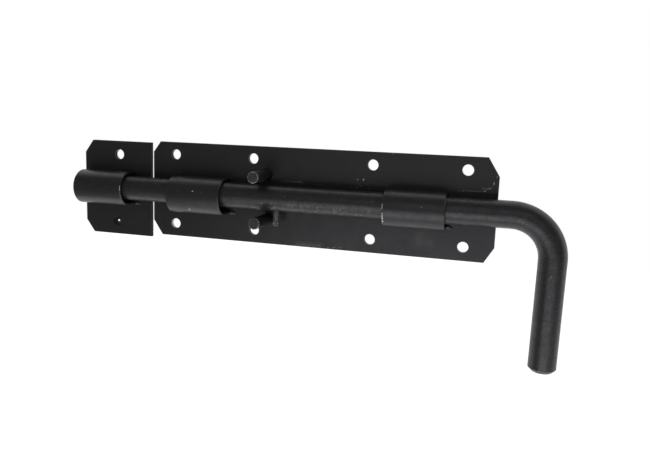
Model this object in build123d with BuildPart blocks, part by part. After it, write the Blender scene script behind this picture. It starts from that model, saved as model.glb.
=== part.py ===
from build123d import *
from math import radians, tan
import os

# Surface door bolt: a round bar, bent down at one end as its handle, slides in strap guides on a flat
# plate. A pin in the bar meets two posts on the plate, and a separate keep takes the bar's tip.
#
# Frame, in millimetres: X runs along the bolt, +X towards the handle; Y runs into the door; Z is up.
# The door's face is Y = 0, and everything stands out of it towards -Y.
# The origin is the middle of the main plate's back face.

# Main plate
plate_length = 251.0
plate_height = 70.0
plate_thickness = 3.0         # of both plates
edge_break = 0.4              # along the front edge of both plates

# Screw holes of the main plate in two rows, from the plate's nearer end to each hole
hole_diameter = 7.5
hole_row_spacing = 51.6
hole_rows_rise = 0.2          # middle of the two rows above the plate's middle
outer_left_inset = 18.6
inner_upper_left_inset = 79.8
inner_lower_left_inset = 81.4
inner_right_inset = 84.0
outer_right_inset = 20.4

# Corners cropped off the plates by hand, each one its own size: (along X, along Z)
crop_top_left = (5.7, 7.8)
crop_bottom_left = (7.3, 11.0)
crop_bottom_right = (6.3, 10.5)
crop_top_right = (7.8, 12.5)
keep_crop = (6.8, 9.4)
square = (0.0, 0.0)

# Keep plate, a little taller, fixed beside the main plate
keep_gap = 2.1                # between the two plates
keep_width = 56.6
keep_height = 71.3
keep_line = -1.85             # height of the keep's middle
keep_hole_spacing = 51.2      # in height
keep_upper_hole_inset = 26.8  # keep's right edge to its holes, which weren't drilled in line
keep_lower_hole_inset = 28.7

# Round bar with its cranked handle
bar_diameter = 18.0
bar_line = -0.2               # height of the bar's axis
running_gap = 0.3             # bar to the plate under it and to the guides' upper legs
bar_overrun = 42.0            # tip beyond the main plate's left end
handle_reach = 36.5           # main plate's right end to the handle's axis, at the bar's height
handle_drop = 100.5           # bar's axis to the handle's end
handle_lean = 0.5             # degrees that the bend is closed past a right angle
bend_radius = 27.0            # of the bar's centre line
tip_chamfer = 1.5
handle_chamfer = 2.3

# Strap guides: strips bent by hand into an arch over the bar, with straight legs down to the plate
guide_wall = 2.0
guide_length = 40.8           # of the two on the main plate
keep_guide_length = 39.5
guide_break = 0.5
tip_guide_radius = 13.2       # outer, as are the next two
handle_guide_radius = 12.5
keep_guide_radius = 12.5
tip_guide_inset = 21.6        # plate's left end to the guide at the tip end
handle_guide_inset = 32.2     # plate's right end to the guide at the handle end
keep_guide_inset = 3.8        # keep's left edge to its guide
keep_guide_rise = 0.9         # middle of the keep's guide above the keep's middle

# Stop posts on the plate, above and below the bar
post_diameter = 8.0
post_height = 28.0            # off the plate, so that they stand past the bar
post_chamfer = 0.6
upper_post_inset = 90.5       # plate's left end to the upper post
lower_post_inset = 91.9
upper_post_gap = 2.1          # between the bar and the upper post
lower_post_gap = 3.4

# Stop pin, pressed into the bar on the handle's side of the posts
pin_diameter = 4.5
pin_step = 9.6                # lower post to the pin, along the bar
pin_proud = 10.5              # length that stands out of the bar
pin_depth = 10.0              # length inside the bar
pin_fit = 0.02                # gap all round in the drilled hole
pin_end_gap = 0.3
pin_chamfer = 0.5

# Derived sizes and places
plate_left = -plate_length / 2
plate_right = plate_length / 2
keep_right = plate_left - keep_gap
keep_left = keep_right - keep_width
bar_radius = bar_diameter / 2
bar_depth = plate_thickness + running_gap + bar_radius      # door's face to the bar's axis
bar_tip = plate_left - bar_overrun
handle_x = plate_right + handle_reach
handle_end_x = handle_x - handle_drop * tan(radians(handle_lean))
guide_depth = plate_thickness + bar_radius                  # door's face to where the arch begins
guide_top = bar_line + bar_radius + running_gap + guide_wall
post_radius = post_diameter / 2
lower_post_x = plate_left + lower_post_inset
pin_x = lower_post_x + pin_step
pin_end = bar_line - bar_radius - pin_proud


def cropped_plate(left, right, middle, height, crops, holes):
    """A plate on the door's face: a strip with its corners cropped, its front edge eased and its holes.

    crops: (x, z) taken off each corner, anticlockwise from the lower left, 'square' for none.
    holes: (x, z) of each screw hole.
    """
    low = middle - height / 2
    high = middle + height / 2
    (ax, az), (bx, bz), (cx, cz), (dx, dz) = crops
    corners = [(left, low + az), (left + ax, low), (right - bx, low), (right, low + bz),
               (right, high - cz), (right - cx, high), (left + dx, high), (left, high - dz)]
    outline = []
    for corner in corners:
        if corner not in outline:
            outline.append(corner)
    with BuildPart() as plate:
        with BuildSketch(Plane.XZ):
            with BuildLine():
                Polyline(*outline, close=True)
            make_face()
            with Locations(*holes):
                Circle(hole_diameter / 2, mode=Mode.SUBTRACT)
        extrude(amount=plate_thickness)
        front = plate.faces().sort_by(Axis.Y)[0]
        chamfer(front.outer_wire().edges(), length=edge_break)
    return plate.part


def strap_guide(left, length, line, outer_radius):
    """A strip bent into an arch that stands on the plate, open at both ends along X."""
    section = Plane(origin=(left, 0, line), x_dir=(0, 1, 0), z_dir=(1, 0, 0))
    middle_radius = outer_radius - guide_wall / 2
    with BuildPart() as guide:
        with BuildSketch(section):
            with BuildLine():
                lower_leg = Line((-plate_thickness, -middle_radius), (-guide_depth, -middle_radius))
                arch = TangentArc(lower_leg @ 1, (-guide_depth, middle_radius), tangent=lower_leg % 1)
                Line(arch @ 1, (-plate_thickness, middle_radius))
            trace(line_width=guide_wall)
        extrude(amount=length)
        for end in (guide.faces().sort_by(Axis.X)[0], guide.faces().sort_by(Axis.X)[-1]):
            # The two short edges along Z are the feet on the plate, which stay sharp.
            chamfer(end.edges().filter_by(Axis.Z, reverse=True), length=guide_break)
    return guide.part


os.makedirs("parts", exist_ok=True)

# Main plate
outer_columns = (plate_left + outer_left_inset, plate_right - outer_right_inset)
upper_columns = (plate_left + inner_upper_left_inset, plate_right - inner_right_inset)
lower_columns = (plate_left + inner_lower_left_inset, plate_right - inner_right_inset)
upper_row = hole_rows_rise + hole_row_spacing / 2
lower_row = hole_rows_rise - hole_row_spacing / 2
upper_holes = [(column, upper_row) for column in outer_columns + upper_columns]
lower_holes = [(column, lower_row) for column in outer_columns + lower_columns]
with BuildPart() as main_plate:
    add(cropped_plate(plate_left, plate_right, 0, plate_height,
                      crops=[crop_bottom_left, crop_bottom_right, crop_top_right, crop_top_left],
                      holes=upper_holes + lower_holes))
main_plate.part.label = "main_plate"
export_step(main_plate.part, "parts/main_plate.step")

# Keep plate: cropped on its far side only, square beside the main plate
keep_holes = [(keep_right - keep_upper_hole_inset, keep_line + keep_hole_spacing / 2),
              (keep_right - keep_lower_hole_inset, keep_line - keep_hole_spacing / 2)]
with BuildPart() as keep_plate:
    add(cropped_plate(keep_left, keep_right, keep_line, keep_height,
                      crops=[keep_crop, square, square, keep_crop], holes=keep_holes))
keep_plate.part.label = "keep_plate"
export_step(keep_plate.part, "parts/keep_plate.step")

# Guides over the bar, two on the main plate, whose upper legs the bar lies against, and one on the keep
with BuildPart() as tip_guide:
    add(strap_guide(plate_left + tip_guide_inset, guide_length,
                    guide_top - tip_guide_radius, tip_guide_radius))
tip_guide.part.label = "tip_guide"
export_step(tip_guide.part, "parts/tip_guide.step")

with BuildPart() as handle_guide:
    add(strap_guide(plate_right - handle_guide_inset - guide_length, guide_length,
                    guide_top - handle_guide_radius, handle_guide_radius))
handle_guide.part.label = "handle_guide"
export_step(handle_guide.part, "parts/handle_guide.step")

with BuildPart() as keep_guide:
    add(strap_guide(keep_left + keep_guide_inset, keep_guide_length,
                    keep_line + keep_guide_rise, keep_guide_radius))
keep_guide.part.label = "keep_guide"
export_step(keep_guide.part, "parts/keep_guide.step")

# Stop posts, round, standing out of the plate
upper_post_line = bar_line + bar_radius + upper_post_gap + post_radius
lower_post_line = bar_line - bar_radius - lower_post_gap - post_radius
for post_name, post_x, post_line in (("upper_post", plate_left + upper_post_inset, upper_post_line),
                                     ("lower_post", lower_post_x, lower_post_line)):
    foot = Plane(origin=(post_x, -plate_thickness, post_line), z_dir=(0, -1, 0))
    with BuildPart() as post:
        with BuildSketch(foot):
            Circle(post_radius)
        extrude(amount=post_height)
        chamfer(post.edges().sort_by(Axis.Y)[0], length=post_chamfer)
    post.part.label = post_name
    export_step(post.part, "parts/" + post_name + ".step")

# Bar and handle: one round bar along a line that runs through the guides and turns down
with BuildPart() as bolt_bar:
    with BuildLine(Plane.XZ.offset(bar_depth)):
        FilletPolyline((bar_tip, bar_line), (handle_x, bar_line), (handle_end_x, bar_line - handle_drop),
                       radius=bend_radius)
    with BuildSketch(Plane(origin=(bar_tip, -bar_depth, bar_line), z_dir=(1, 0, 0))):
        Circle(bar_radius)
    sweep()
    chamfer(bolt_bar.faces().sort_by(Axis.X)[0].edges(), length=tip_chamfer)
    chamfer(bolt_bar.faces().sort_by(Axis.Z)[0].edges(), length=handle_chamfer)
    # Drilled from below for the stop pin
    with BuildSketch(Plane(origin=(pin_x, -bar_depth, bar_line - bar_radius + pin_depth + pin_end_gap),
                           z_dir=(0, 0, -1))):
        Circle(pin_diameter / 2 + pin_fit)
    extrude(amount=bar_diameter, mode=Mode.SUBTRACT)
bolt_bar.part.label = "bolt_bar"
export_step(bolt_bar.part, "parts/bolt_bar.step")

# Stop pin, pointing the same way as the handle
with BuildPart() as stop_pin:
    with BuildSketch(Plane(origin=(pin_x, -bar_depth, pin_end), z_dir=(0, 0, 1))):
        Circle(pin_diameter / 2)
    extrude(amount=pin_proud + pin_depth)
    chamfer(stop_pin.edges().sort_by(Axis.Z)[0], length=pin_chamfer)
stop_pin.part.label = "stop_pin"
export_step(stop_pin.part, "parts/stop_pin.step")
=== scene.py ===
import math
import random

import bmesh
import bpy
from mathutils import Matrix, Vector, noise


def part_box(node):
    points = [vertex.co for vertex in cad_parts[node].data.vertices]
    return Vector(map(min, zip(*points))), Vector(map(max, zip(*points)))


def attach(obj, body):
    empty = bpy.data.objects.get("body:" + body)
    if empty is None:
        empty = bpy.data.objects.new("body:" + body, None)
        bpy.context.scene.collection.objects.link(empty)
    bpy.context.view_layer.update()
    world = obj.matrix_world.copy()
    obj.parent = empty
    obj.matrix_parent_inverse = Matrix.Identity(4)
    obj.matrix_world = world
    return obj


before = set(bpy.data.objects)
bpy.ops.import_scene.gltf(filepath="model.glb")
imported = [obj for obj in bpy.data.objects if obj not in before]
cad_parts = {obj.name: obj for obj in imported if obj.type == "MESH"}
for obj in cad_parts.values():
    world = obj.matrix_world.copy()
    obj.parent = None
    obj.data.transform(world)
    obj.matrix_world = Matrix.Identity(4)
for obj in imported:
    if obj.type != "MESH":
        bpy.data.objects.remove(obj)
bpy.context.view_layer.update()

# Looks of the door bolt. The lengths below are millimetres in the part's own frame: +X along the bolt
# to the handle, +Y into the door, +Z up. Places on a round part are given as an arc length from the
# line that faces straight out of the door.
MM = 0.001


def box_mm(node):
    """A node's lowest and highest corners in millimetres."""
    low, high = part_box(node)
    return low / MM, high / MM


# Camera: fitted to the plate's outline and its round holes in the 650 x 450 photograph.
# Angles in degrees: turned left of +Y, tipped down, and rolled.
CAMERA_YAW = 15.0243
CAMERA_PITCH = 8.9144
CAMERA_ROLL = 2.1988
CAMERA_PLACE = (125.511, -436.160, 52.437)
SENSOR_WIDTH = 36.0
LENS = 35.662
NEAR_CLIP = 0.01              # metres

# Strengths of the light, where 1 is white
ROOM_TOP = 0.12               # upper part of the room in front, as the paint's gloss sees it
FILL_BELOW = 0.66             # light on the flat colours from below, and from above
FILL_ABOVE = 0.38
FLOOR_GLOW = 0.8              # white floor, as the camera and the paint's gloss see it

# Floor: its height, its nearer left and farther right corner in metres, and its colour
FLOOR_LEVEL = -0.72
FLOOR_REACH = ((-2.5, -0.25), (2.5, 3.5))
FLOOR_COLOUR = (0.82, 0.82, 0.82, 1)
FLOOR_ROUGHNESS = 0.9

# Plain rectangular lamps around the bolt: (name, degrees right of straight in front, degrees above it,
# size in metres, power)
LAMP_DISTANCE = 0.9
LAMPS = (
    ("softbox", 10, -28, (1.05, 0.50), 3.0),
    ("low_fill", -10, -50, (0.90, 0.45), 1.5),
    ("right_fill", 62, -42, (0.50, 0.80), 1.2),
    ("left_fill", -74, -12, (0.60, 0.70), 0.36),
    ("top_fill", 14, 26, (0.70, 0.50), 0.45),
)

# Places that the scene takes from the frame
plate_low = box_mm("main_plate")[0]
bar_low, bar_high = box_mm("bolt_bar")
pin_low, pin_high = box_mm("stop_pin")
post_low = box_mm("upper_post")[0]
PLATE_FRONT = plate_low.y
BAR_RADIUS = (bar_high.y - bar_low.y) / 2
BAR_DEPTH = bar_low.y + BAR_RADIUS
BAR_LINE = bar_high.z - BAR_RADIUS
HANDLE_X = bar_high.x - BAR_RADIUS
HANDLE_MIDDLE_X = HANDLE_X - 0.4      # the handle leans in by half a degree
HANDLE_END_X = HANDLE_X - 0.85
GUIDE_WALL = 2.0
GUIDE_BREAK = 0.5             # the broken edges of the guides' ends, and of the posts
POST_BREAK = 0.6
HOLE_RADIUS = 3.75
MARK_LIFT = 0.02              # how far a mark in the paint stands off the surface


# Faces that marks lie on: each maps (along, across) in millimetres to a place on the part

def flat_face(front):
    """The front of a plate, along X and up."""
    def place(along, up):
        return Vector((along, front - MARK_LIFT, up))
    return place


def round_face(depth, line, radius):
    """A round face along X, which is arched about the axis at this depth and height."""
    def place(along, arc):
        angle = arc / radius
        reach = radius + MARK_LIFT
        return Vector((along, depth - reach * math.cos(angle), line + reach * math.sin(angle)))
    return place


def upright_face(x, depth, radius):
    """An upright round face, across its arc and up."""
    def place(arc, up):
        angle = arc / radius
        reach = radius + MARK_LIFT
        return Vector((x + reach * math.sin(angle), depth - reach * math.cos(angle), up))
    return place


def guide_shape(node):
    """Axis depth, axis height and outer radius of a guide's arch."""
    low, high = box_mm(node)
    radius = (high.z - low.z) / 2
    return low.y + radius, high.z - radius, radius


def rim_face(node, right):
    """The broken edge at one end of a guide's arch, along its arc and across the edge from 0 to 1."""
    low, high = box_mm(node)
    depth, line, radius = guide_shape(node)
    end, inward = (high.x, -1) if right else (low.x, 1)

    def place(arc, across):
        angle = arc / radius
        reach = radius - GUIDE_BREAK * across + MARK_LIFT
        x = end + inward * (GUIDE_BREAK * (1 - across) - MARK_LIFT)
        return Vector((x, depth - reach * math.cos(angle), line + reach * math.sin(angle)))
    return place


# Shader nodes

def add_node(owner, kind, inputs=None, **settings):
    """Adds a shader node to a material or the world.

    An input is a number, a colour or a vector, or another node's output to link.
    """
    tree = owner.node_tree
    made = tree.nodes.new("ShaderNode" + kind)
    for name, value in settings.items():
        setattr(made, name, value)
    for name, value in (inputs or {}).items():
        if isinstance(value, bpy.types.NodeSocket):
            tree.links.new(value, made.inputs[name])
        else:
            made.inputs[name].default_value = value
    return made


def cloud(owner, place, size, detail=4.0, roughness=0.55):
    """Soft noise whose blobs are about this many millimetres across."""
    return add_node(owner, "TexNoise", {"Vector": place, "Scale": 1 / (size * MM), "Detail": detail,
                                        "Roughness": roughness}).outputs["Fac"]


def remap(owner, value, low, high, to_low=0.0, to_high=1.0):
    """Stretches a value from low..high to to_low..to_high with soft ends."""
    return add_node(owner, "MapRange", {"Value": value, "From Min": low, "From Max": high,
                                        "To Min": to_low, "To Max": to_high},
                    interpolation_type="SMOOTHSTEP").outputs["Result"]


def combine(owner, operation, first, second):
    """A Math node on two numbers or outputs."""
    return add_node(owner, "Math", {0: first, 1: second}, operation=operation).outputs[0]


def product(owner, *values):
    """Multiplies any count of numbers or outputs."""
    total = values[0]
    for value in values[1:]:
        total = combine(owner, "MULTIPLY", total, value)
    return total


def band(owner, value, low, high, soft):
    """1 where the value lies between low and high, with soft ends."""
    return product(owner, remap(owner, value, low - soft, low),
                   remap(owner, value, high, high + soft, 1.0, 0.0))


def blend_colours(owner, factor, first, second):
    return add_node(owner, "Mix", {0: factor, 6: first, 7: second}, data_type="RGBA").outputs[2]


def grey(level, warmth=0.0):
    return (level * (1 + warmth), level, level * (1 - warmth), 1)


# Materials
GLOSS_TINT = (0.94, 0.93, 1.0, 1)
SKIN_SIZE = 2.6               # waves of the paint's skin and the fine grain on it: how wide and how deep
SKIN_DEPTH = 0.12
GRAIN_SIZE = 1.1
GRAIN_DEPTH = 0.03
WORN_AND_SHEEN_LEVEL = 0.20             # grey of worn paint and of painted highlights, how warm it is, and how much smoother
WORN_AND_SHEEN_WARMTH = 0.03
WORN_AND_SHEEN_SMOOTHER = 0.08
FACE_ENDS = (0.25, 0.45)      # depth behind a front face over which its paint gives way to its walls' paint
STEEL_METALLIC = 0.3


def new_material(name):
    material = bpy.data.materials.new(name)
    material.use_nodes = True
    return material, material.node_tree.nodes["Principled BSDF"]


def satin_paint(name, dark, light, blotch, gloss, peel=0.35, speckle=0.03, wear_and_sheen=None):
    """Satin black paint: blotches in colour and gloss, and the fine peel of its skin.

    dark, light: greys of the blotches, which are 'blotch' millimetres wide.
    gloss: middle of the roughness. peel: strength of the skin's waves and grain.
    speckle: how far the roughness strays from spot to spot.
    wear_and_sheen: a function of (material, place) that gives where the paint is chipped or thinned by
    rubbing, and where highlights are painted on it, from 0 to 1.
    """
    material, shader = new_material(name)
    links = material.node_tree.links
    place = add_node(material, "TexCoord").outputs["Object"]
    blotches = cloud(material, place, blotch, detail=5)
    fine = cloud(material, place, GRAIN_SIZE, detail=3, roughness=0.65)
    colour = blend_colours(material, remap(material, blotches, 0.35, 0.68), grey(dark), grey(light))
    rough = combine(material, "ADD", remap(material, blotches, 0.3, 0.7, gloss + 0.05, gloss - 0.04),
                    remap(material, fine, 0.3, 0.7, -speckle, speckle))
    # worn paint, and on the main plate the painted highlights, turn the colour grey and the paint smoother
    if wear_and_sheen:
        worn_and_sheen = wear_and_sheen(material, place)
        colour = blend_colours(material, worn_and_sheen, colour, grey(WORN_AND_SHEEN_LEVEL, WORN_AND_SHEEN_WARMTH))
        rough = combine(material, "SUBTRACT", rough, product(material, worn_and_sheen, WORN_AND_SHEEN_SMOOTHER))
    links.new(colour, shader.inputs["Base Color"])
    links.new(rough, shader.inputs["Roughness"])
    shader.inputs["Specular Tint"].default_value = GLOSS_TINT
    skin = add_node(material, "Bump", {"Height": cloud(material, place, SKIN_SIZE, detail=2),
                                       "Strength": peel, "Distance": SKIN_DEPTH * MM})
    grain = add_node(material, "Bump", {"Height": fine, "Strength": peel, "Distance": GRAIN_DEPTH * MM,
                                        "Normal": skin.outputs["Normal"]})
    links.new(grain.outputs["Normal"], shader.inputs["Normal"])
    return material


def by_face(material, place, front, at_face, behind):
    """One value on a front face at this depth, and another behind it."""
    depth = add_node(material, "SeparateXYZ", {"Vector": place}).outputs["Y"]
    return remap(material, depth, (front + FACE_ENDS[0]) * MM, (front + FACE_ENDS[1]) * MM, at_face, behind)


def bar_light_specks(material, place):
    """Light grey specks in a band on the lower front of the bar, between the posts and the handle's guide."""
    axes = add_node(material, "SeparateXYZ", {"Vector": place}).outputs
    along = band(material, axes["X"], -30 * MM, 42 * MM, 14 * MM)
    around = band(material, axes["Z"], (BAR_LINE - 8.4) * MM, (BAR_LINE - 3.4) * MM, 1.6 * MM)
    specks = cloud(material, place, 2.1, detail=5, roughness=0.7)
    return product(material, along, around, remap(material, specks, 0.52, 0.64, 0.0, 0.34))


def worn_post(material, place):
    """Chipped paint on the end face of a post, most of all on its broken edge."""
    depth = add_node(material, "SeparateXYZ", {"Vector": place}).outputs["Y"]
    end = post_low.y
    tip = remap(material, depth, (end + POST_BREAK) * MM, (end + POST_BREAK + 0.3) * MM, 1.0, 0.0)
    rim = remap(material, depth, (end + 0.02) * MM, (end + 0.08) * MM, 0.05, 1.0)
    chips = cloud(material, place, 1.9, detail=4, roughness=0.7)
    return product(material, tip, rim, remap(material, chips, 0.40, 0.58))


def plate_painted_sheen(material, place):
    """Painted highlights on the main plate: a light, mottled band along its lower edge and a soft light patch
    near its lower right corner.

    Both lie on its front face alone.
    """
    axes = add_node(material, "SeparateXYZ", {"Vector": place}).outputs
    along = band(material, axes["X"], -9 * MM, 5 * MM, 5 * MM)
    edge = remap(material, axes["Z"], (plate_low.z + 1.2) * MM, (plate_low.z + 5.0) * MM, 1.0, 0.0)
    edge_sheen = remap(material, cloud(material, place, 1.6, detail=4), 0.35, 0.65, 0.08, 0.20)
    corner = product(material, band(material, axes["X"], 76 * MM, 81 * MM, 7 * MM),
                     band(material, axes["Z"], -25 * MM, -21 * MM, 6 * MM),
                     remap(material, cloud(material, place, 5.0), 0.3, 0.7, 0.03, 0.09))
    face = by_face(material, place, PLATE_FRONT, 1.0, 0.0)
    return product(material, face, combine(material, "ADD", product(material, along, edge, edge_sheen), corner))


def shade_walls(material, front, dull):
    """Dull, dry paint behind a front face: on the walls of holes, on cut edges and on the posts' sides."""
    place = add_node(material, "TexCoord").outputs["Object"]
    shader = material.node_tree.nodes["Principled BSDF"]
    shine = by_face(material, place, front, 0.5, dull)
    material.node_tree.links.new(shine, shader.inputs["Specular IOR Level"])


def metal_grey(name, level, rough, warmth=0.02):
    """Metal grey, dulled in patches: bare metal in a scratch or a chip, and painted highlights on the guides'
    broken ends.
    """
    material, shader = new_material(name)
    place = add_node(material, "TexCoord").outputs["Object"]
    patches = remap(material, cloud(material, place, 0.9), 0.35, 0.65)
    colour = blend_colours(material, patches, grey(level * 0.55, warmth + 0.04), grey(level, warmth))
    material.node_tree.links.new(colour, shader.inputs["Base Color"])
    shader.inputs["Roughness"].default_value = rough
    shader.inputs["Metallic"].default_value = STEEL_METALLIC
    return material


def dress(nodes, material):
    """Gives CAD nodes their material."""
    for node in nodes:
        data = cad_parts[node].data
        data.materials.clear()
        data.materials.append(material)


GUIDES = ("tip_guide", "handle_guide", "keep_guide")
# the plate's paint also carries painted highlights: a light band on its lower edge and a light patch near its
# lower right corner
plate_paint = satin_paint("plate_paint", 0.0105, 0.0145, blotch=9.0, gloss=0.37, wear_and_sheen=plate_painted_sheen)
shade_walls(plate_paint, PLATE_FRONT, 0.08)
dress(("main_plate", "keep_plate"), plate_paint)
dress(GUIDES, satin_paint("guide_paint", 0.0115, 0.0160, blotch=6.0, gloss=0.36, speckle=0.05))
post_paint = satin_paint("post_paint", 0.0105, 0.0150, blotch=3.0, gloss=0.50, wear_and_sheen=worn_post)
shade_walls(post_paint, post_low.y + POST_BREAK, 0.15)
dress(("upper_post", "lower_post"), post_paint)
dress(("bolt_bar",), satin_paint("bar_paint", 0.0105, 0.0165, blotch=4.5, gloss=0.37, peel=0.9,
                                 speckle=0.11, wear_and_sheen=bar_light_specks))
dress(("stop_pin",), satin_paint("pin_paint", 0.0300, 0.0700, blotch=2.0, gloss=0.30))
weld_paint = satin_paint("weld_paint", 0.0130, 0.0250, blotch=1.5, gloss=0.40, peel=0.6)
film_paint = satin_paint("film_paint", 0.0080, 0.0120, blotch=2.0, gloss=0.50)
# light metal grey that paints highlights on the guides' broken ends
rim_highlight_metal = metal_grey("painted_rim_highlight", 0.11, 0.42)
scratched = metal_grey("scratched_paint", 0.20, 0.5)
chipped = metal_grey("chipped_paint", 0.55, 0.4)
primer = metal_grey("bare_hole", 0.55, 0.6, warmth=0.07)


# Pieces of the scene's own
CHIP_CORNERS = 11
SCRATCH_STEP = 0.6            # length of the short strips that make up a scratch
LUMP_RINGS = 7
LUMP_SPOKES = 16


def add_piece(name, mesh, material, body):
    """A bmesh in millimetres becomes a piece that rides on a body."""
    bmesh.ops.recalc_face_normals(mesh, faces=mesh.faces)
    bmesh.ops.scale(mesh, vec=(MM, MM, MM), verts=mesh.verts)
    data = bpy.data.meshes.new(name)
    mesh.to_mesh(data)
    mesh.free()
    data.materials.append(material)
    piece = bpy.data.objects.new(name, data)
    bpy.context.scene.collection.objects.link(piece)
    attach(piece, body)
    return piece


def smooth(piece):
    for face in piece.data.polygons:
        face.use_smooth = True


def chip(mesh, place, along, across, half_length, half_width, dice):
    """A small ragged patch on a face, as a fan of triangles around its middle."""
    middle = mesh.verts.new(place(along, across))
    rim = []
    for step in range(CHIP_CORNERS):
        turn = math.tau * step / CHIP_CORNERS
        reach = dice.uniform(0.6, 1.1)
        rim.append(mesh.verts.new(place(along + half_length * reach * math.cos(turn),
                                        across + half_width * reach * math.sin(turn))))
    for step in range(CHIP_CORNERS):
        mesh.faces.new((middle, rim[step], rim[(step + 1) % CHIP_CORNERS]))


def patch_row(mesh, place, low, high, across, half_width, dice):
    """Small patches side by side along an arc, short enough to follow its curve: chips, and painted
    highlights on the guides' broken ends.
    """
    arc = low
    while arc < high:
        half_length = dice.uniform(0.4, 0.8)
        chip(mesh, place, arc, across, half_length, half_width, dice)
        arc += half_length * dice.uniform(1.1, 2.0)


def scratch(mesh, place, points, width, dice):
    """A ragged line of short strips on a face, which thins out at its ends and breaks off in places."""
    walk = []
    for start, end in zip(points, points[1:]):
        steps = max(2, round(math.dist(start, end) / SCRATCH_STEP))
        walk += [(start[0] + (end[0] - start[0]) * step / steps,
                  start[1] + (end[1] - start[1]) * step / steps) for step in range(steps)]
    walk.append(points[-1])
    before = None
    for number, (along, up) in enumerate(walk):
        taper = min(1.0, (number + 1) / 4, (len(walk) - number) / 4)
        half = width / 2 * taper * dice.uniform(0.35, 1.25)
        up += dice.uniform(-0.12, 0.12)
        pair = (mesh.verts.new(place(along, up - half)), mesh.verts.new(place(along, up + half)))
        if before and dice.random() > 0.12:
            mesh.faces.new((before[0], pair[0], pair[1], before[1]))
        before = pair


def lump(mesh, centre, radii, dice, unevenness=0.32):
    """A small dome of weld metal, uneven all round, half sunk in what it joins."""
    shift = Vector((dice.uniform(0, 50), dice.uniform(0, 50), dice.uniform(0, 50)))
    near = mesh.verts.new((centre[0], centre[1] + radii[1], centre[2]))
    far = mesh.verts.new((centre[0], centre[1] - radii[1], centre[2]))
    rows = []
    for ring in range(1, LUMP_RINGS):
        tilt = math.pi * ring / LUMP_RINGS
        row = []
        for spoke in range(LUMP_SPOKES):
            turn = math.tau * spoke / LUMP_SPOKES
            way = Vector((math.sin(tilt) * math.cos(turn), math.cos(tilt),
                          math.sin(tilt) * math.sin(turn)))
            swell = 1 + unevenness * noise.noise(way * 1.7 + shift)
            row.append(mesh.verts.new([centre[axis] + radii[axis] * way[axis] * swell
                                       for axis in range(3)]))
        rows.append(row)
    for step in range(LUMP_SPOKES):
        after = (step + 1) % LUMP_SPOKES
        mesh.faces.new((near, rows[0][step], rows[0][after]))
        mesh.faces.new((far, rows[-1][after], rows[-1][step]))
        for upper, lower in zip(rows, rows[1:]):
            mesh.faces.new((upper[step], lower[step], lower[after], upper[after]))


# Weld tacks at both ends of each guide's lower leg, where it stands on the plate
for node in GUIDES:
    dice = random.Random(node)
    low, high = box_mm(node)
    foot = low.z + GUIDE_WALL / 2
    mesh = bmesh.new()
    lump(mesh, (high.x + 1.2, PLATE_FRONT - 0.1, foot + 0.1), (2.3, 1.7, 1.7), dice)
    lump(mesh, (high.x + 3.1, PLATE_FRONT, foot - 0.3), (1.5, 0.8, 1.2), dice)
    lump(mesh, (low.x - 0.9, PLATE_FRONT, foot - 0.2), (1.8, 1.5, 1.5), dice)
    smooth(add_piece("tacks_" + node, mesh, weld_paint, "plates"))

# Scratches in the plate's paint: above the bar, and beside it at the handle's end
dice = random.Random("plate scratches")
front = flat_face(PLATE_FRONT)
mesh = bmesh.new()
for points, width in (
        ([(-25.5, 10.9), (-18.8, 11.4), (-13.5, 11.3), (-9.5, 10.9), (-7.4, 9.8)], 0.45),
        ([(-14.5, 10.5), (-10.2, 11.9), (-8.0, 11.0)], 0.40),
        ([(2.4, 10.6), (6.2, 10.0)], 0.30),
        ([(33.0, 12.4), (34.6, 10.6)], 0.35),
        ([(99.2, 11.6), (103.0, 12.4), (107.5, 12.6), (110.7, 12.3), (114.6, 12.5)], 0.60),
        ([(114.0, 13.4), (116.8, 12.9), (118.3, 14.5), (119.8, 15.0), (121.3, 15.1)], 0.75),
        ([(121.3, 15.1), (122.0, 17.3), (122.1, 19.0), (121.9, 20.6)], 0.50),
        ([(114.2, 14.6), (115.8, 14.9), (117.4, 14.4)], 0.55),
        ([(121.8, 10.4), (121.9, 12.1), (121.5, 13.6)], 0.40)):
    scratch(mesh, front, points, width, dice)
for along, up, half_length, half_width in ((-8.6, 11.3, 0.50, 0.40), (55.0, 34.3, 1.10, 0.28),
                                           (31.0, 10.3, 0.55, 0.50), (33.2, 11.3, 0.50, 0.45),
                                           (39.8, 10.1, 0.35, 0.35), (16.3, -33.6, 1.00, 0.45),
                                           (21.2, -33.3, 0.80, 0.40), (12.0, -34.0, 0.60, 0.30),
                                           (123.9, 22.6, 0.45, 0.70), (-6.0, -33.0, 0.70, 0.40)):
    chip(mesh, front, along, up, half_length, half_width, dice)
add_piece("plate_scratches", mesh, scratched, "plates")

# Chips in the plate's paint, down to the metal
mesh = bmesh.new()
for along, up, half_length, half_width in ((35.4, 15.6, 0.55, 0.95), (31.3, 15.4, 0.45, 0.42),
                                           (116.8, 12.7, 0.40, 0.40), (122.1, 18.2, 0.30, 1.10)):
    chip(mesh, front, along, up, half_length, half_width, dice)
add_piece("plate_chips", mesh, chipped, "plates")

# Bare metal on the far wall of the main plate's lower hole at the tip end, on part of its round
BARE_HOLE = (-106.9, -25.6)
BARE_START = 112              # degrees
BARE_SPAN = 136
BARE_STEPS = 16
BARE_DEPTHS = (0.15, 2.6)
mesh = bmesh.new()
reach = HOLE_RADIUS - MARK_LIFT
rings = []
for step in range(BARE_STEPS + 1):
    turn = math.radians(BARE_START + BARE_SPAN * step / BARE_STEPS)
    x, z = BARE_HOLE[0] + reach * math.cos(turn), BARE_HOLE[1] + reach * math.sin(turn)
    rings.append([mesh.verts.new((x, PLATE_FRONT + depth, z)) for depth in BARE_DEPTHS])
for before, after in zip(rings, rings[1:]):
    mesh.faces.new((before[0], before[1], after[1], after[0]))
smooth(add_piece("bare_hole_wall", mesh, primer, "plates"))

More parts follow.
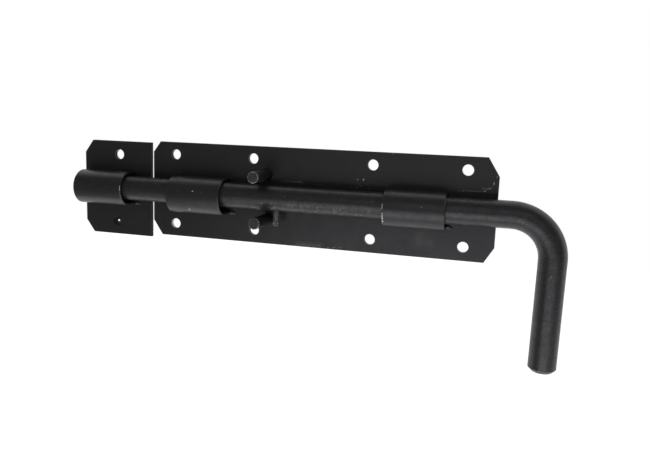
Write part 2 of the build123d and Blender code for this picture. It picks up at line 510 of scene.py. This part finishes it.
# Chips on the guides: spots on their arches, and bare metal along their broken ends
mesh = bmesh.new()
tip_arch = round_face(*guide_shape("tip_guide"))
handle_arch = round_face(*guide_shape("handle_guide"))
for arch, along, arc, half_length, half_width in ((tip_arch, -82.6, 4.3, 0.55, 0.50),
                                                  (tip_arch, -86.5, -10.4, 0.50, 0.95),
                                                  (tip_arch, -76.0, 3.4, 0.20, 0.20),
                                                  (tip_arch, -93.0, -6.0, 0.22, 0.18),
                                                  (handle_arch, 78.5, 3.3, 0.35, 0.22)):
    chip(mesh, arch, along, arc, half_length, half_width, dice)
for node, right, low, high in (("handle_guide", False, 0.6, 4.4), ("handle_guide", False, -9.6, -2.0),
                               ("handle_guide", False, -11.6, -10.6), ("keep_guide", True, 0.2, 3.0)):
    patch_row(mesh, rim_face(node, right), low, high, 0.5, 0.42, dice)


def across_handle_arch(arc, along):
    """The handle guide's arch with its arc first, for a row of chips around it."""
    return handle_arch(along, arc)


patch_row(mesh, across_handle_arch, -9.4, -2.4, 53.3, 0.36, dice)
patch_row(mesh, across_handle_arch, 1.2, 4.0, 53.1, 0.14, dice)
add_piece("guide_chips", mesh, chipped, "plates")

# Painted highlights: light metal-grey patches along the lower half of the broken ends that face the handle
mesh = bmesh.new()
for node, low, high in (("keep_guide", -13.0, 0.0), ("tip_guide", -14.5, 1.0), ("handle_guide", -15.5, -1.0)):
    patch_row(mesh, rim_face(node, True), low, high, 0.5, 0.42, dice)
add_piece("guide_rim_highlights", mesh, rim_highlight_metal, "plates")

# Marks on the bar and its handle
mesh = bmesh.new()
bar_face = round_face(BAR_DEPTH, BAR_LINE, BAR_RADIUS)
handle_face = upright_face(HANDLE_MIDDLE_X, BAR_DEPTH, BAR_RADIUS)
for along, arc, half_length, half_width in ((-51.0, -0.8, 0.40, 0.35), (-15.4, 2.9, 0.35, 0.35),
                                            (11.0, -1.4, 0.35, 0.30), (45.7, 3.4, 0.30, 0.25),
                                            (-6.4, -7.0, 0.45, 0.25), (19.4, -9.0, 0.90, 0.30)):
    chip(mesh, bar_face, along, arc, half_length, half_width, dice)
for arc, up, half_length, half_width in ((-0.6, -36.3, 0.28, 0.75), (-0.4, -49.4, 0.18, 0.60),
                                         (-4.4, -79.0, 0.35, 0.45), (-4.7, -82.0, 0.30, 0.60)):
    chip(mesh, handle_face, arc, up, half_length, half_width, dice)
end_face = upright_face(HANDLE_END_X, BAR_DEPTH, BAR_RADIUS)
for arc in (-10.4, -8.6, -7.9, -5.2, -1.8, 3.6, 7.4):
    rise = dice.uniform(0.0, 0.5)
    chip(mesh, end_face, arc, bar_low.z + 2.5 + rise, dice.uniform(0.3, 0.7), 0.22, dice)
add_piece("bar_chips", mesh, scratched, "bolt")

# Bare metal at the end of the stop pin, on the side towards the posts
mesh = bmesh.new()
pin_face = upright_face((pin_low.x + pin_high.x) / 2, BAR_DEPTH, (pin_high.x - pin_low.x) / 2)
chip(mesh, pin_face, -1.3, pin_low.z + 1.7, 0.80, 1.00, dice)
chip(mesh, pin_face, 1.9, pin_low.z + 1.9, 0.30, 0.60, dice)
add_piece("pin_chip", mesh, chipped, "bolt")

# A dark sheet with a small ragged opening, across the keep's lower hole
FILM_CENTRE = Vector((-156.3, -2.1, -27.45))
FILM_RADIUS = 3.72
FILM_SAG = 0.5
TEAR_CENTRE = FILM_CENTRE + Vector((0.25, 0, 0.30))
TEAR_RADIUS = 0.80
FILM_POINTS = 28
dice = random.Random("film")
mesh = bmesh.new()
outer, inner = [], []
for step in range(FILM_POINTS):
    turn = math.tau * step / FILM_POINTS
    way = Vector((math.cos(turn), 0, math.sin(turn)))
    outer.append(mesh.verts.new(FILM_CENTRE + FILM_RADIUS * way + Vector((0, FILM_SAG, 0))))
    inner.append(mesh.verts.new(TEAR_CENTRE + TEAR_RADIUS * dice.uniform(0.75, 1.15) * way))
for step in range(FILM_POINTS):
    after = (step + 1) % FILM_POINTS
    mesh.faces.new((outer[step], outer[after], inner[after], inner[step]))
smooth(add_piece("hole_film", mesh, film_paint, "plates"))


# Studio

def set_camera():
    yaw = math.radians(CAMERA_YAW)
    pitch = math.radians(CAMERA_PITCH)
    roll = math.radians(CAMERA_ROLL)
    ahead = Vector((-math.sin(yaw) * math.cos(pitch), math.cos(yaw) * math.cos(pitch), -math.sin(pitch)))
    level = ahead.cross(Vector((0, 0, 1))).normalized()
    above = level.cross(ahead)
    right = math.cos(roll) * level + math.sin(roll) * above
    up = -math.sin(roll) * level + math.cos(roll) * above
    data = bpy.data.cameras.new("camera")
    data.sensor_width = SENSOR_WIDTH
    data.lens = LENS
    data.clip_start = NEAR_CLIP
    camera = bpy.data.objects.new("camera", data)
    place = Vector(CAMERA_PLACE) * MM
    camera.matrix_world = Matrix((
        (right.x, up.x, -ahead.x, place.x),
        (right.y, up.y, -ahead.y, place.y),
        (right.z, up.z, -ahead.z, place.z),
        (0, 0, 0, 1)))
    bpy.context.scene.collection.objects.link(camera)
    bpy.context.scene.camera = camera


def softbox(name, turn, rise, size, power):
    """A plain rectangular lamp aimed at the bolt."""
    data = bpy.data.lights.new(name, "AREA")
    data.shape = "RECTANGLE"
    data.size, data.size_y = size
    data.energy = power
    lamp = bpy.data.objects.new(name, data)
    turn, rise = math.radians(turn), math.radians(rise)
    way = Vector((math.sin(turn) * math.cos(rise), -math.cos(turn) * math.cos(rise), math.sin(rise)))
    lamp.location = way * LAMP_DISTANCE
    lamp.rotation_euler = way.to_track_quat("Z", "Y").to_euler()
    lamp.visible_camera = False
    bpy.context.scene.collection.objects.link(lamp)


def set_world():
    """White to the camera, and soft light on the bolt.

    The paint's gloss sees the white background behind the bolt and the dim room in front of it, and its
    flat colour is lit from below more than from above.
    """
    world = bpy.data.worlds.new("studio")
    world.use_nodes = True
    world.node_tree.nodes.clear()
    way = add_node(world, "SeparateXYZ", {"Vector": add_node(world, "TexCoord").outputs["Generated"]}).outputs
    rays = add_node(world, "LightPath").outputs
    behind = remap(world, way["Y"], -0.08, 0.08)
    in_front = combine(world, "SUBTRACT", 1.0, behind)
    room = remap(world, way["Z"], -0.3, 0.3, 0.0, ROOM_TOP)
    seen_in_gloss = combine(world, "ADD", behind, product(world, in_front, room))
    fill = remap(world, way["Z"], -0.5, 0.5, FILL_BELOW, FILL_ABOVE)
    gloss = rays["Is Glossy Ray"]
    strength = combine(world, "ADD", product(world, gloss, seen_in_gloss),
                       product(world, combine(world, "SUBTRACT", 1.0, gloss), fill))
    white = combine(world, "MAXIMUM", rays["Is Camera Ray"], rays["Is Transmission Ray"])
    shade = add_node(world, "Background", {"Color": (1, 1, 1, 1),
                                           "Strength": combine(world, "MAXIMUM", white, strength)})
    output = add_node(world, "OutputWorld")
    world.node_tree.links.new(shade.outputs[0], output.inputs["Surface"])
    bpy.context.scene.world = world


def set_floor():
    """A plain pale floor well below the bolt, which looks white and keeps the bolt's shadow."""
    material, shader = new_material("floor")
    shader.inputs["Base Color"].default_value = FLOOR_COLOUR
    shader.inputs["Roughness"].default_value = FLOOR_ROUGHNESS
    shader.inputs["Emission Color"].default_value = (1, 1, 1, 1)
    rays = add_node(material, "LightPath").outputs
    seen = combine(material, "MAXIMUM", rays["Is Camera Ray"], rays["Is Transmission Ray"])
    glow = product(material, combine(material, "MAXIMUM", seen, rays["Is Glossy Ray"]), FLOOR_GLOW)
    material.node_tree.links.new(glow, shader.inputs["Emission Strength"])
    (x0, y0), (x1, y1) = FLOOR_REACH
    data = bpy.data.meshes.new("floor")
    places = [(x, y, FLOOR_LEVEL) for x, y in ((x0, y0), (x1, y0), (x1, y1), (x0, y1))]
    data.from_pydata(places, [], [(0, 1, 2, 3)])
    data.materials.append(material)
    floor = bpy.data.objects.new("floor", data)
    bpy.context.scene.collection.objects.link(floor)


set_world()
set_floor()
for lamp_row in LAMPS:
    softbox(*lamp_row)
set_camera()
bpy.context.scene.view_settings.view_transform = "Standard"
